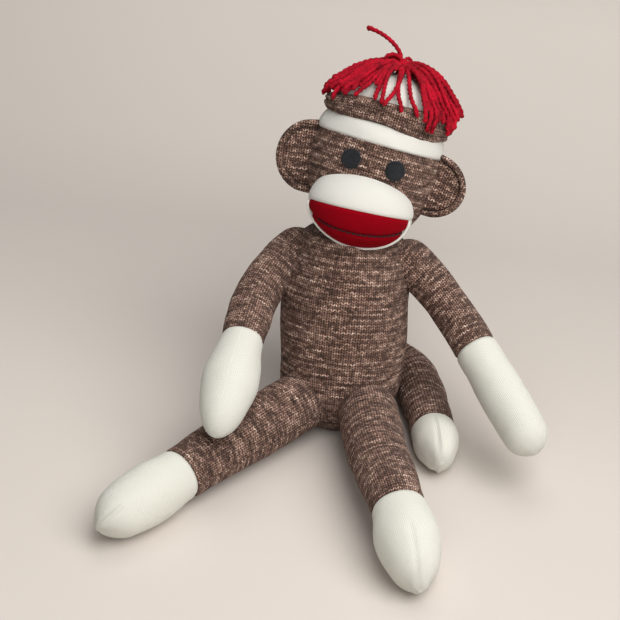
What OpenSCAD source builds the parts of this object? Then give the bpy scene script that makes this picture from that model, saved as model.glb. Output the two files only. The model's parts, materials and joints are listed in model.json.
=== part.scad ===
// Sock monkey: a stuffed knitted toy that sits with its legs out in front.
// Units are millimetres. +Z is up, the chest faces -Y and the monkey's left is +X.
// The origin is the centre of the flat patch that the monkey sits on.

/* [Torso] */
// Greatest width of the stuffed torso
torso_w = 97; // [94:1:100]
// Height of the centre of the seat ball above the floor
seat_height = 38; // [36:1:40]
// Length of the torso from the centre of the seat ball to the neck pivot
torso_len = 107; // [105:1:110]
// Backward lean of the torso in degrees
torso_lean = 18; // [14:1:20]
// Lean of the torso towards the monkey's left in degrees
torso_side = 1.5; // [0:0.5:3]
// Thickness of the knitted covers
cover_t = 1.6; // [1.2:0.1:1.8]

/* [Head] */
// Width of the head
head_w = 96; // [92:1:98]
// Backward nod of the head in degrees
head_nod = 27; // [22:1:28]
// Tilt of the head towards the monkey's left in degrees
head_tilt = 12; // [6:1:13]
// Half width of the muzzle
muzzle_half_w = 39; // [36:1:41]
// Half height of the muzzle
muzzle_half_h = 26; // [24:1:27]
// Diameter of the felt eyes
eye_d = 14.6; // [12:0.2:17]
// Distance between the centres of the eyes
eye_gap = 33; // [30:1:38]
// Radius of the ears
ear_r = 25; // [22:1:27]

/* [Hat] */
// Height of the cream band
band_h = 13; // [11:1:15]
// Outer diameter of the rolled brim
brim_w = 97; // [94:1:99]
// Height of the rolled brim
brim_h = 18; // [15:1:20]
// Height of the crown above the brim
crown_h = 23; // [19:1:26]
// Diameter of a strand of pom-pom yarn
yarn_d = 3.6; // [3:0.2:4.4]

/* [Arms] */
// Diameter of a sleeve
arm_d = 34; // [32:1:35]
// Length from the shoulder to the elbow
upper_arm_len = 39; // [37:1:42]
// Length from the elbow to the cuff
fore_arm_len = 51; // [48:1:54]
// Length of a hand from its cuff to its tip
hand_len = 88; // [84:1:90]

/* [Legs] */
// Diameter of a thigh
thigh_d = 44; // [42:1:45]
// Diameter of a leg at the cuff
ankle_d = 38.6; // [37:0.2:40]
// Length from the hip to the knee
thigh_len = 62; // [58:1:65]
// Length from the knee to the cuff
shin_len = 58; // [55:1:61]
// Length of a foot from its cuff to its toe
foot_len = 74; // [71:1:76]

/* [Tail] */
// Diameter of the tail
tail_d = 30.6; // [29:0.2:31]
// Length from the root of the tail to its bend
tail_root_len = 44; // [42:1:46]
// Length from the bend to the cuff of the tail
tail_mid_len = 88; // [84:1:90]
// Length of the cream tail tip
tail_tip_len = 49; // [46:1:52]

/* [Hidden] */

$fn = 48;
LEFT = 1;
RIGHT = -1;
brown = "#6f5a50";
cream = "#eeebdf";
red = "#b3101f";
black = "#1b1c1e";
white = "#fbfaf5";

// Clearances: between a cover and its stuffing, and between bodies that turn on each other
pack_gap = 0.25;
turn_gap = 0.4;
big = 400;

// ---- outlines: lists of [radius, height], turned about +Z

function mix(a, b, t) = a + (b - a) * t;

// Catmull-Rom point between b and c
function blend_point(a, b, c, d, t) = 0.5 * (2 * b + (c - a) * t
  + (2 * a - 5 * b + 4 * c - d) * t * t + (3 * b - a - 3 * c + d) * t * t * t);

// A smooth outline through stations
function smooth(p, steps = 4) = let (n = len(p) - 1) concat(
  [for (i = [0:n - 1]) for (k = [0:steps - 1])
    blend_point(p[max(i - 1, 0)], p[i], p[i + 1], p[min(i + 2, n)], k / steps)],
  [p[n]]);

// A quarter round about [0, z], from the angle a0 to a1
function dome(r, z, a0, a1, n = 6) = [for (k = [0:n])
  let (a = mix(a0, a1, k / n)) [max(r * cos(a), 0), z + r * sin(a)]];

function inset(p, t) = [for (q = p) [max(q[0] - t, 0), q[1]]];

module turned(p) rotate_extrude() polygon(p);

// A limb: a domed root, smooth sides and a domed tip, t inside its surface
function limb_outline(p, t) = let (n = len(p) - 1) concat(
  dome(p[0][0] - t, p[0][1], -90, 0),
  inset(smooth([for (i = [0:n]) p[i]]), t),
  dome(p[n][0] - t, p[n][1], 0, 90));

// ---- places

// A direction from a heading (degrees from -Y towards +X) and a drop below level
function heading(turn, drop) = [sin(turn) * cos(drop), -cos(turn) * cos(drop), -sin(drop)];
function unit(v) = v / norm(v);

// Puts +Z along a limb and +X along its hinge, which is square to the limb
module on_limb(at, along, hinge) multmatrix([
  for (k = [0:2]) [hinge[k], cross(along, hinge)[k], along[k], at[k]]]) children();

seat_centre = [-2, 0, seat_height];
torso_axis = [sin(torso_side) * cos(torso_lean), sin(torso_lean), cos(torso_side) * cos(torso_lean)];
torso_across = [cos(torso_side), 0, -sin(torso_side)];
neck_at = seat_centre + torso_len * torso_axis;
head_rise = 41;

module on_torso() translate(seat_centre) rotate([-torso_lean, torso_side, 0]) children();
module on_neck() translate(neck_at) rotate([-torso_lean, torso_side, 0]) children();
module on_head() translate(neck_at) rotate([-head_nod, head_tilt, 0]) translate([0, 0, head_rise])
  children();

// Arms: a heading and a drop for the upper arm, then for the forearm
shoulder_along = 90;
shoulder_out = 43.5;
arm_pose_left = [77, 35, 40.3, 27.5];
arm_pose_right = [-45, 12.7, -2, 23.6];
function arm_pose(side) = side == LEFT ? arm_pose_left : arm_pose_right;
function shoulder_at(side) = seat_centre + shoulder_along * torso_axis
  + side * shoulder_out * torso_across;

// Legs: a heading and a drop for the leg, then for the foot
hip_out = 27;
hip_front = 38;
hip_height = 30;
leg_pose_left = [20, -2.8, 29, 19];
leg_pose_right = [-35.5, 2.8, -35.5, 2.8];
function leg_pose(side) = side == LEFT ? leg_pose_left : leg_pose_right;
function hip_at(side) = [side * hip_out, -hip_front, hip_height];

// Tail: a heading and a drop for its root, then for its end
tail_pose = [98, 14.5, 14.7, 0.6];
tail_root_at = [8, 53, 30];

// ---- joints in the stuffing: a ball at each pivot and a wedge that frees the bend

hip_ball_r = 17;
shoulder_ball_r = 11.5;
knee_ball_r = 17.5;
elbow_ball_r = 13.2;
tail_ball_r = 10;
neck_ball_r = 21;
neck_cover_r = 23;
hip_root_r = 20;
shoulder_root_r = 14.5;
tail_root_r = 12.5;
root_clear = 6;
limb_wedge = 33;
tail_wedge = 49;
stretch_wedge = 6;

// Half of the wedge at a pivot: below z = 0 when side is -1, above it when side is 1.
// The wide part opens towards -Y, the inside of the bend.
module bend_cut(side, wedge) rotate([90, 0, 90]) linear_extrude(height = 120, center = true)
  polygon([[0, 0], [-80, side * 80 * tan(wedge)], [-80, -side * big],
    [80, -side * big], [80, side * 80 * tan(stretch_wedge)]]);

// Skin of a first limb segment, from its root to the pivot at z = length
module first_cover(p, length, wedge) difference() {
  turned(limb_outline(p, 0));
  turned(limb_outline(p, cover_t));
  translate([0, 0, length]) bend_cut(-1, wedge);
}

module first_fill(p, length, wedge, root_ball, end_ball) union() {
  difference() {
    turned(limb_outline(p, cover_t + pack_gap));
    translate([0, 0, length]) bend_cut(-1, wedge);
    sphere(root_ball + turn_gap);
  }
  translate([0, 0, length]) sphere(end_ball);
}

// Skin of a second limb segment, from the pivot at z = 0 to the flat cuff
module second_cover(p, wedge) let (last = p[len(p) - 1]) difference() {
  turned(concat([[0, 0]], smooth(p), [[0, last[1]]]));
  turned(concat([[0, -1], [p[0][0] - cover_t, -1]], inset(smooth(p), cover_t),
    [[last[0] - cover_t, last[1] + 1], [0, last[1] + 1]]));
  bend_cut(1, wedge);
}

// Hand, foot or tail tip: a domed form beyond the cuff plane, along its own line
module end_solid(p, t, line) difference() {
  on_limb([0, 0, 0], line, unit(cross([0, 1, 0], line))) turned(limb_outline(p, t));
  translate([-big / 2, -big / 2, -big]) cube(big);
}

module end_cover(p, line) difference() {
  end_solid(p, 0, line);
  on_limb([0, 0, 0], line, unit(cross([0, 1, 0], line))) turned(limb_outline(p, cover_t));
}

module second_fill(p, wedge, root_ball, q, line) union() {
  difference() {
    turned(concat([[0, 0]], inset(smooth(p), cover_t + pack_gap), [[0, p[len(p) - 1][1]]]));
    bend_cut(1, wedge);
    sphere(root_ball + turn_gap);
  }
  translate([0, 0, p[len(p) - 1][1]]) end_solid(q, cover_t + 3 * pack_gap, line);
}

// The same where the end lies in line with the sleeve, as one turned form with a socket
module straight_fill(p, wedge, root_ball, q)
  let (n = len(q) - 1, t = cover_t + pack_gap, end_at = p[len(p) - 1][1])
  difference() {
    turned(concat(dome(root_ball + turn_gap, 0, 90, 0, 8), inset(smooth(p), t),
      inset([for (k = [1:4 * n]) smooth(q)[k] + [0, end_at]], t),
      dome(q[n][0] - t, q[n][1] + end_at, 15, 90, 5)));
    bend_cut(1, wedge);
  }

// ---- torso and neck

torso_r = torso_w / 2;
seat_r = torso_r - 2.5;
function torso_outline(t) = concat(
  dome(seat_r - t, 0, -90, 0, 10),
  inset(smooth([[seat_r, 0], [torso_r, torso_len * 0.37], [torso_r - 1.5, torso_len * 0.65],
    [torso_r - 10.5, torso_len * 0.82], [30.5, torso_len - 15], [23, torso_len - 9 - t]]), t),
  [[0, torso_len - 9 - t]]);

module above(z) translate([-big / 2, -big / 2, z]) cube(big);

module root_hollows(extra) {
  for (side = [LEFT, RIGHT]) {
    translate(hip_at(side)) sphere(hip_root_r + root_clear + extra);
    translate(shoulder_at(side)) sphere(shoulder_root_r + root_clear + 1.5 + extra);
  }
  translate(tail_root_at) sphere(tail_root_r + root_clear + extra);
  translate(neck_at) sphere(neck_cover_r + turn_gap + extra);
}

module torso_cover() color(brown) difference() {
  intersection() {
    on_torso() turned(torso_outline(0));
    above(0);
  }
  intersection() {
    on_torso() turned(torso_outline(cover_t));
    above(cover_t);
  }
  root_hollows(0);
}

module torso_stuffing() color(white) difference() {
  intersection() {
    on_torso() turned(torso_outline(cover_t + pack_gap));
    above(cover_t + pack_gap);
  }
  root_hollows(0);
}

// The neck turns as a ball: a knitted zone round a ball of stuffing
neck_zone = 30;
module neck_cover() color(brown) on_neck() rotate_extrude() polygon(concat(
  dome(neck_cover_r, 0, -neck_zone, neck_zone, 8),
  [for (q = dome(neck_ball_r + turn_gap, 0, neck_zone, -neck_zone, 8)) q]));
module neck_stuffing() color(white) on_neck() sphere(neck_ball_r);

// ---- head and hat, with z measured from the centre of the head

head_r = head_w / 2;
band_z = 29;
brim_z = band_z + band_h;
crown_z = brim_z + brim_h;
band_r = head_r - 1;
brim_in_r = head_r - 7;
crown_r = 38.5;
brim_round = 6;
chin_z = -33;
function head_outline(t) = concat(
  [[0, chin_z + t]], inset(smooth([[35, chin_z + t], [42.5, -22], [46.8, -9], [head_r, 6],
    [band_r, band_z]]), t));

module neck_hollow() translate([0, 0, -head_rise]) sphere(neck_cover_r + turn_gap);

module head_cover() color(brown) on_head() difference() {
  turned(concat(head_outline(0), [[0, band_z]]));
  turned(concat(head_outline(cover_t), [[band_r - cover_t, big], [0, big]]));
  neck_hollow();
}

module head_stuffing() color(white) on_head() difference() {
  turned(concat(head_outline(cover_t + pack_gap), [[0, band_z - pack_gap]]));
  neck_hollow();
}

module hat_band() color(cream) on_head() turned([[band_r, band_z], [brim_in_r + 3, brim_z - 4],
  [brim_in_r, brim_z], [brim_in_r - cover_t, brim_z], [brim_in_r + 3 - cover_t, brim_z - 4],
  [band_r - cover_t, band_z]]);

// The brim is a tube of knit rolled up on itself
module hat_brim() color(brown) on_head() rotate_extrude() translate([brim_w / 2 - brim_round,
  brim_z + brim_round]) union() {
  circle(brim_round);
  translate([0, brim_h - 2 * brim_round]) circle(brim_round);
  translate([-brim_round, 0]) square([2 * brim_round, brim_h - 2 * brim_round]);
}

function crown_outline(t) = [for (k = [0:12]) let (a = k * 7.5)
  [(crown_r - t) * cos(a), crown_z + (crown_h - t) * pow(sin(a), 1.15)]];

module hat_crown() color(cream) on_head() difference() {
  turned(concat([[0, crown_z]], crown_outline(0)));
  turned(concat([[0, crown_z - 1], [crown_r - cover_t, crown_z - 1]], crown_outline(cover_t)));
}

hat_core_r = brim_w / 2 - 2 * brim_round - pack_gap;
module hat_stuffing() color(white) on_head() turned(concat(
  [[0, band_z], [band_r - cover_t - 3, band_z], [hat_core_r, brim_z - 4], [hat_core_r, brim_z],
    [hat_core_r, crown_z - 0.5]], [for (q = crown_outline(cover_t + pack_gap)) q]));

// ---- muzzle: a flattened ball on the lower front of the head

muzzle_at = [1, -29, -21];
muzzle_roll = 4;
muzzle_depth = 31;
lip_line = 1;
lip_h = 21;
module muzzle_form(t) translate(muzzle_at) rotate([8, -muzzle_roll, 0])
  resize(2 * [muzzle_half_w - t, muzzle_depth - t, muzzle_half_h - t]) sphere(20, $fn = 40);
module muzzle_clear() {
  translate([0, 0, -6]) sphere(head_r + 1.2, $fn = 64);
  translate([0, 0, 8]) cylinder(r = head_r + 1.2, h = 60, $fn = 64);
}
module muzzle_half(z, above_line) translate(muzzle_at) rotate([8, -muzzle_roll, 0])
  translate([-big / 2, -big / 2, above_line ? z : z - big]) cube(big);

module muzzle_cover() color(cream) on_head() resize([0, 0, 0]) difference() {
  muzzle_form(0);
  muzzle_form(cover_t);
  muzzle_clear();
  muzzle_half(lip_line, false);
}

module lips() color(red) on_head() resize([0, 0, 0]) difference() {
  muzzle_form(0);
  muzzle_form(cover_t);
  muzzle_clear();
  muzzle_half(lip_line - 0.1, true);
  muzzle_half(lip_line - lip_h, false);
}

module muzzle_piping() color(cream) on_head() resize([0, 0, 0]) difference() {
  muzzle_form(0);
  muzzle_form(cover_t);
  muzzle_clear();
  muzzle_half(lip_line - lip_h - 0.1, true);
}

module muzzle_stuffing() color(white) on_head() resize([0, 0, 0]) difference() {
  muzzle_form(cover_t + pack_gap);
  muzzle_clear();
}

// Backstitches that stand on the lips along a smile
stitch_n = 15;
stitch_r = 0.7;
module mouth_stitches() color(black) on_head() for (k = [0:stitch_n - 1]) {
  u = (2 * k / (stitch_n - 1) - 1) * 0.8;
  w = -0.5 + 0.2 * u * u;
  v = sqrt(1 - u * u - w * w);
  translate(muzzle_at) rotate([8, -muzzle_roll, 0])
    translate([u * muzzle_half_w, -v * muzzle_depth - stitch_r * (1.5 + 1.2 * u * u), w * muzzle_half_h])
    rotate([0, 90, atan2(-u * muzzle_depth, -v * muzzle_half_w) + 180])
    cylinder(r = stitch_r, h = 3.4, center = true, $fn = 16);
}

// ---- eyes: felt discs that lie on the head

eye_z = 10;
eye_t = 1.4;
eye_turn = asin(eye_gap / 2 / head_r);
module on_eye(side) on_head() rotate([0, 0, side * eye_turn])
  translate([0, -head_r - 0.5, eye_z]) rotate([90, 0, 0]) children();
module eye(side) color(black) on_eye(side) cylinder(d = eye_d, h = eye_t);
module left_eye() eye(LEFT);
module right_eye() eye(RIGHT);

// Eight short stitches hold each disc
module eye_stitches() color(black) for (side = [LEFT, RIGHT]) on_eye(side)
  for (k = [0:7]) rotate([0, 0, k * 45]) translate([eye_d / 2 - 1.6, 0, eye_t + 0.6])
  rotate([0, 90, 0]) cylinder(r = 0.4, h = 2.4, $fn = 16);

// ---- ears: half discs, front and back panels on a thin pad, hinged at the side of the head

ear_t = 9;
ear_turn = 80;
ear_z = 4;
ear_out = head_r + 3;
module on_ear(side) on_head() rotate([0, 0, side * (ear_turn - 90)])
  translate([side * ear_out, 0, ear_z]) rotate([0, 0, side * 8]) mirror([side == LEFT ? 0 : 1, 0, 0])
  children();
function ear_outline(r, half_t) = [for (k = [0:8]) let (a = k * 11.25)
  [r * pow(sin(a), 0.8), half_t * cos(a)]];
module ear_lens(r, half_t) rotate([90, 0, 0]) turned(concat(
  [for (q = ear_outline(r, half_t)) [q[0], -q[1]]],
  [for (k = [7:-1:0]) ear_outline(r, half_t)[k]]));
module ear_panel(face) difference() {
  ear_lens(ear_r, ear_t / 2);
  ear_lens(ear_r - 2.5, ear_t / 2 - 1.3);
  translate([-big, -big / 2, -big / 2]) cube(big);
  translate([-big / 2, face > 0 ? -big + 0.05 : -0.05, -big / 2]) cube(big);
}
module ear_front(side) color(brown) on_ear(side) ear_panel(-1);
module ear_back(side) color(brown) on_ear(side) ear_panel(1);
module ear_padding(side) color(white) on_ear(side) difference() {
  ear_lens(ear_r - 2.8, ear_t / 2 - 1.6);
  translate([-big + 0.2, -big / 2, -big / 2]) cube(big);
}
ear_stitch_r = ear_r - 5.5;
module ear_topstitch(side) color(brown) on_ear(side) translate([0, -ear_t / 2 + 0.2, 0])
  rotate([90, 0, 0]) for (k = [0:10]) rotate([0, 0, -80 + 16 * k]) translate([ear_stitch_r, 0, 0])
  rotate([90, 0, 0]) cylinder(r = 0.5, h = 3.6, center = true, $fn = 16);
module left_ear_front() ear_front(LEFT);
module left_ear_back() ear_back(LEFT);
module left_ear_padding() ear_padding(LEFT);
module left_ear_topstitch() ear_topstitch(LEFT);
module right_ear_front() ear_front(RIGHT);
module right_ear_back() ear_back(RIGHT);
module right_ear_padding() ear_padding(RIGHT);
module right_ear_topstitch() ear_topstitch(RIGHT);

// ---- pom-pom: a skirt of yarn over the crown, tied at the top

tuft_t = 5;
tuft_gap = 0.6;
function tuft_edge(t) = concat(
  [for (q = [for (k = [12:-1:2]) crown_outline(-tuft_gap - t)[k]]) q],
  [[brim_w / 2 - 2 + t * 0.6, crown_z + 1.5 + tuft_gap + t * 0.4],
    [brim_w / 2 + tuft_gap + t * 0.8, crown_z - 6]]);
module pompom_strands() color(red) on_head() turned(concat(tuft_edge(0),
  [for (k = [len(tuft_edge(0)) - 1:-1:0]) tuft_edge(tuft_t)[k]]));

knot_r = 4;
loose_end = [[0, 0, 0], [-3, 0, 7], [-8, 1, 13], [-14, 1, 17], [-20, 0, 20], [-27, -1, 21.5]];
module pompom_tie() color(red) on_head()
  translate([0, 0, crown_z + crown_h + tuft_t + 2 * tuft_gap + knot_r * 0.8]) {
  sphere(knot_r, $fn = 20);
  for (k = [0:len(loose_end) - 2]) hull() {
    translate(loose_end[k]) sphere(d = yarn_d, $fn = 10);
    translate(loose_end[k + 1]) sphere(d = yarn_d, $fn = 10);
  }
}

// ---- arms

arm_r = arm_d / 2;
hand_line = [0, 0, 1];
upper_arm_stations = [[shoulder_root_r, 0], [arm_r - 1.8, 16], [arm_r, 30], [arm_r, upper_arm_len + 10]];
fore_arm_stations = [[arm_r, 0], [arm_r, fore_arm_len * 0.5], [arm_r - 0.7, fore_arm_len]];
hand_stations = [[arm_r - 0.7, 0], [arm_r + 0.8, hand_len * 0.4], [arm_r - 2.5, hand_len - arm_r + 2.5]];

function upper_arm_line(side) = heading(arm_pose(side)[0], arm_pose(side)[1]);
function fore_arm_line(side) = heading(arm_pose(side)[2], arm_pose(side)[3]);
function elbow_at(side) = shoulder_at(side) + upper_arm_len * upper_arm_line(side);
function elbow_hinge(side) = unit(cross(upper_arm_line(side), fore_arm_line(side)));
module on_upper_arm(side) on_limb(shoulder_at(side), upper_arm_line(side), elbow_hinge(side))
  children();
module on_fore_arm(side) on_limb(elbow_at(side), fore_arm_line(side), elbow_hinge(side))
  children();

module shoulder_fill(side) color(white) translate(shoulder_at(side)) sphere(shoulder_ball_r);
module upper_sleeve(side) color(brown) on_upper_arm(side)
  first_cover(upper_arm_stations, upper_arm_len, limb_wedge);
module upper_arm_fill(side) color(white) on_upper_arm(side)
  first_fill(upper_arm_stations, upper_arm_len, limb_wedge, shoulder_ball_r, elbow_ball_r);
module fore_sleeve(side) color(brown) on_fore_arm(side)
  second_cover(fore_arm_stations, limb_wedge);
module hand_cover(side) color(cream) on_fore_arm(side) translate([0, 0, fore_arm_len])
  end_cover(hand_stations, hand_line);
module fore_arm_fill(side) color(white) on_fore_arm(side)
  straight_fill(fore_arm_stations, limb_wedge, elbow_ball_r, hand_stations);
module left_shoulder_fill() shoulder_fill(LEFT);
module right_shoulder_fill() shoulder_fill(RIGHT);
module left_upper_sleeve() upper_sleeve(LEFT);
module right_upper_sleeve() upper_sleeve(RIGHT);
module left_upper_arm_fill() upper_arm_fill(LEFT);
module right_upper_arm_fill() upper_arm_fill(RIGHT);
module left_fore_sleeve() fore_sleeve(LEFT);
module right_fore_sleeve() fore_sleeve(RIGHT);
module left_hand_cover() hand_cover(LEFT);
module right_hand_cover() hand_cover(RIGHT);
module left_fore_arm_fill() fore_arm_fill(LEFT);
module right_fore_arm_fill() fore_arm_fill(RIGHT);

// ---- legs

thigh_r = thigh_d / 2;
ankle_r = ankle_d / 2;
thigh_stations = [[hip_root_r, 0], [hip_root_r + 0.5, 18], [thigh_r, 34], [thigh_r - 0.8, thigh_len + 12]];
shin_stations = [[thigh_r - 0.8, 0], [thigh_r - 1.5, shin_len * 0.5], [ankle_r, shin_len]];
foot_stations = [[ankle_r, 0], [ankle_r + 3, foot_len * 0.45], [ankle_r - 0.5, foot_len - ankle_r + 0.5]];

function leg_line(side) = heading(leg_pose(side)[0], leg_pose(side)[1]);
function foot_line(side) = heading(leg_pose(side)[2], leg_pose(side)[3]);
function knee_at(side) = hip_at(side) + thigh_len * leg_line(side);
function knee_hinge(side) = unit(cross([0, 0, 1], leg_line(side)));
// The foot's line in the frame of the shin
function foot_lean(side) = let (z = leg_line(side), x = knee_hinge(side), y = cross(z, x))
  [foot_line(side) * x, foot_line(side) * y, foot_line(side) * z];
module on_thigh(side) on_limb(hip_at(side), leg_line(side), knee_hinge(side)) children();
module on_shin(side) on_limb(knee_at(side), leg_line(side), knee_hinge(side)) children();

module hip_fill(side) color(white) translate(hip_at(side)) sphere(hip_ball_r);
module thigh_cover(side) color(brown) on_thigh(side)
  first_cover(thigh_stations, thigh_len, limb_wedge);
module thigh_fill(side) color(white) on_thigh(side)
  first_fill(thigh_stations, thigh_len, limb_wedge, hip_ball_r, knee_ball_r);
module shin_cover(side) color(brown) on_shin(side)
  second_cover(shin_stations, limb_wedge);
module foot_cover(side) color(cream) on_shin(side) translate([0, 0, shin_len])
  end_cover(foot_stations, foot_lean(side));
module shin_fill(side) color(white) on_shin(side)
  second_fill(shin_stations, limb_wedge, knee_ball_r, foot_stations, foot_lean(side));
module left_hip_fill() hip_fill(LEFT);
module right_hip_fill() hip_fill(RIGHT);
module left_thigh_cover() thigh_cover(LEFT);
module right_thigh_cover() thigh_cover(RIGHT);
module left_thigh_fill() thigh_fill(LEFT);
module right_thigh_fill() thigh_fill(RIGHT);
module left_shin_cover() shin_cover(LEFT);
module right_shin_cover() shin_cover(RIGHT);
module left_foot_cover() foot_cover(LEFT);
module right_foot_cover() foot_cover(RIGHT);
module left_shin_fill() shin_fill(LEFT);
module right_shin_fill() shin_fill(RIGHT);

// ---- tail

tail_r = tail_d / 2;
tip_line = [0, 0, 1];
tail_root_stations = [[tail_root_r, 0], [tail_r - 1, 12], [tail_r, 24], [tail_r, tail_root_len + 8]];
tail_mid_stations = [[tail_r, 0], [tail_r, tail_mid_len * 0.5], [tail_r + 0.3, tail_mid_len]];
tail_tip_stations = [[tail_r + 0.3, 0], [tail_r + 3, tail_tip_len * 0.5],
  [tail_r, tail_tip_len - tail_r]];
tail_root_line = heading(tail_pose[0], tail_pose[1]);
tail_end_line = heading(tail_pose[2], tail_pose[3]);
tail_bend_at = tail_root_at + tail_root_len * tail_root_line;
tail_hinge = unit(cross(tail_root_line, tail_end_line));
module on_tail_root() on_limb(tail_root_at, tail_root_line, tail_hinge) children();
module on_tail_end() on_limb(tail_bend_at, tail_end_line, tail_hinge) children();

module tail_root_fill() color(white) translate(tail_root_at) sphere(tail_ball_r);
module tail_root_cover() color(brown) on_tail_root()
  first_cover(tail_root_stations, tail_root_len, tail_wedge);
module tail_mid_fill() color(white) on_tail_root()
  first_fill(tail_root_stations, tail_root_len, tail_wedge, tail_ball_r, tail_ball_r + 1);
module tail_end_cover() color(brown) on_tail_end()
  second_cover(tail_mid_stations, tail_wedge);
module tail_tip_cover() color(cream) on_tail_end() translate([0, 0, tail_mid_len])
  end_cover(tail_tip_stations, tip_line);
module tail_end_fill() color(white) on_tail_end()
  straight_fill(tail_mid_stations, tail_wedge, tail_ball_r + 1, tail_tip_stations);

// ---- the model

torso_cover();
torso_stuffing();
neck_cover();
neck_stuffing();
head_cover();
head_stuffing();
muzzle_cover();
lips();
muzzle_piping();
muzzle_stuffing();
mouth_stitches();
left_eye();
right_eye();
eye_stitches();
hat_band();
hat_brim();
hat_crown();
hat_stuffing();
pompom_strands();
pompom_tie();
left_ear_front();
left_ear_back();
left_ear_padding();
left_ear_topstitch();
right_ear_front();
right_ear_back();
right_ear_padding();
right_ear_topstitch();
left_shoulder_fill();
left_upper_sleeve();
left_upper_arm_fill();
left_fore_sleeve();
left_hand_cover();
left_fore_arm_fill();
right_shoulder_fill();
right_upper_sleeve();
right_upper_arm_fill();
right_fore_sleeve();
right_hand_cover();
right_fore_arm_fill();
left_hip_fill();
left_thigh_cover();
left_thigh_fill();
left_shin_cover();
left_foot_cover();
left_shin_fill();
right_hip_fill();
right_thigh_cover();
right_thigh_fill();
right_shin_cover();
right_foot_cover();
right_shin_fill();
tail_root_fill();
tail_root_cover();
tail_mid_fill();
tail_end_cover();
tail_tip_cover();
tail_end_fill();
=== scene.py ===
"""The visual model of a stuffed knitted monkey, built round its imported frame.

Lengths are millimetres in the row frame until a mesh is made, which is in metres.
"""
import json
import math
import random

import bpy
import numpy as np
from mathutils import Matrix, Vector, noise


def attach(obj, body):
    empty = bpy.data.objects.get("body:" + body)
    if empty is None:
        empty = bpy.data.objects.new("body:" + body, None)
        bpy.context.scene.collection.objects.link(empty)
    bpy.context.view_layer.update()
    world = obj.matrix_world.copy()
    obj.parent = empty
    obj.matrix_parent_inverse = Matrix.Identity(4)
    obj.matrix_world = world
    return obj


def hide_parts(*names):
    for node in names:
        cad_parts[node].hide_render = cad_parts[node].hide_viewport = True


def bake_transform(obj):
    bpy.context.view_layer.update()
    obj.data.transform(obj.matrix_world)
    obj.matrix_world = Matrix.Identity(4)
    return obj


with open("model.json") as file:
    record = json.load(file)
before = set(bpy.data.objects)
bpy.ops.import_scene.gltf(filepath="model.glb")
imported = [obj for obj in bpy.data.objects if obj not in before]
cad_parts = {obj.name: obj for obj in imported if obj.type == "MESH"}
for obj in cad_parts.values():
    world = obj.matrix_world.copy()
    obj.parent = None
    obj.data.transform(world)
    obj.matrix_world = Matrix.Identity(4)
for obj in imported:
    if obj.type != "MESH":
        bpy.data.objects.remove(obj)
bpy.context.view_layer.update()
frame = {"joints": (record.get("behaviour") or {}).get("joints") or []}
random.seed(7)

MM = 1000                 # millimetres in a metre
MAX_SWELL = 1.6           # how far the cloth may move a point
CLOTH_FRAMES = 20
SEAM_WIDTH, SEAM_DEPTH = 1.5, 1.1


# ---- small geometry helpers

def unit(v):
    v = np.asarray(v, float)
    return v / np.linalg.norm(v)


def heading(turn, drop):
    """A direction from a heading (degrees from -Y towards +X) and a drop below level."""
    t, d = math.radians(turn), math.radians(drop)
    return np.array([math.sin(t) * math.cos(d), -math.cos(t) * math.cos(d), -math.sin(d)])


def curve(knots, x):
    """A smooth value through (position, value) knots."""
    k = np.array(knots, float)
    px, py = k[:, 0], k[:, 1]
    slope = np.gradient(py, px)
    x = np.clip(x, px[0], px[-1])
    i = np.clip(np.searchsorted(px, x) - 1, 0, len(px) - 2)
    h = px[i + 1] - px[i]
    t = (x - px[i]) / h
    return ((2 * t**3 - 3 * t**2 + 1) * py[i] + (t**3 - 2 * t**2 + t) * h * slope[i]
            + (3 * t**2 - 2 * t**3) * py[i + 1] + (t**3 - t**2) * h * slope[i + 1])


def spline(points, step):
    """Points every step along a smooth line through the given ones."""
    p = np.array(points, float)
    d = np.r_[0, np.cumsum(np.linalg.norm(np.diff(p, axis=0), axis=1))]
    t = np.linspace(0, d[-1], max(int(d[-1] / step), 2))
    return np.stack([curve(np.c_[d, p[:, k]], t) for k in range(p.shape[1])], -1)


def rounded(points, handle):
    """A line through points, with each corner rounded over the handle's length."""
    p = [np.array(q, float) for q in points]
    out = [p[0]]
    for a, b, c in zip(p, p[1:], p[2:]):
        start, end = b + handle * unit(a - b), b + handle * unit(c - b)
        for t in np.linspace(0, 1, 14):
            out.append((1 - t)**2 * start + 2 * t * (1 - t) * b + t * t * end)
    out.append(p[-1])
    return np.array(out)


def lengths(path):
    """How far along a path each of its points is."""
    return np.r_[0, np.cumsum(np.linalg.norm(np.diff(path, axis=0), axis=1))]


def rows_along(total, first_dome, last_dome, step):
    """Positions along a limb, closer together over its domed ends."""
    rise = 1 - np.cos(np.linspace(0, math.pi / 2, 10))
    return np.concatenate([first_dome * rise[:-1], np.arange(first_dome, total - last_dome, step),
                           total - last_dome * rise[::-1]])


def dome_factor(s, total, first_dome, last_dome):
    """1 along a limb, and down to 0 over its domed ends."""
    first, last = (np.sqrt(np.clip(1 - np.clip(1 - t, 0, 1)**2, 0, 1))
                   for t in (s / first_dome, (total - s) / last_dome))
    return first * last


def rings(path, side, s, rx, ry, n, change):
    """Rings about a path. change(s, angle) is added to the radius."""
    d = lengths(path)

    def at(t):
        return np.stack([np.interp(t, d, path[:, k]) for k in range(3)], -1)
    c = at(s)
    along = at(np.clip(s + 1.5, 0, d[-1])) - at(np.clip(s - 1.5, 0, d[-1]))
    along /= np.linalg.norm(along, axis=1)[:, None]
    x = side - (along @ side)[:, None] * along
    x /= np.linalg.norm(x, axis=1)[:, None]
    y = np.cross(along, x)
    a = np.linspace(0, 2 * math.pi, n, endpoint=False)[None, :]
    more = change(s[:, None], a)
    cos, sin = ((rx[:, None] + more) * np.cos(a))[..., None], ((ry[:, None] + more) * np.sin(a))[..., None]
    return c[:, None] + cos * x[:, None] + sin * y[:, None]


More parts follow.
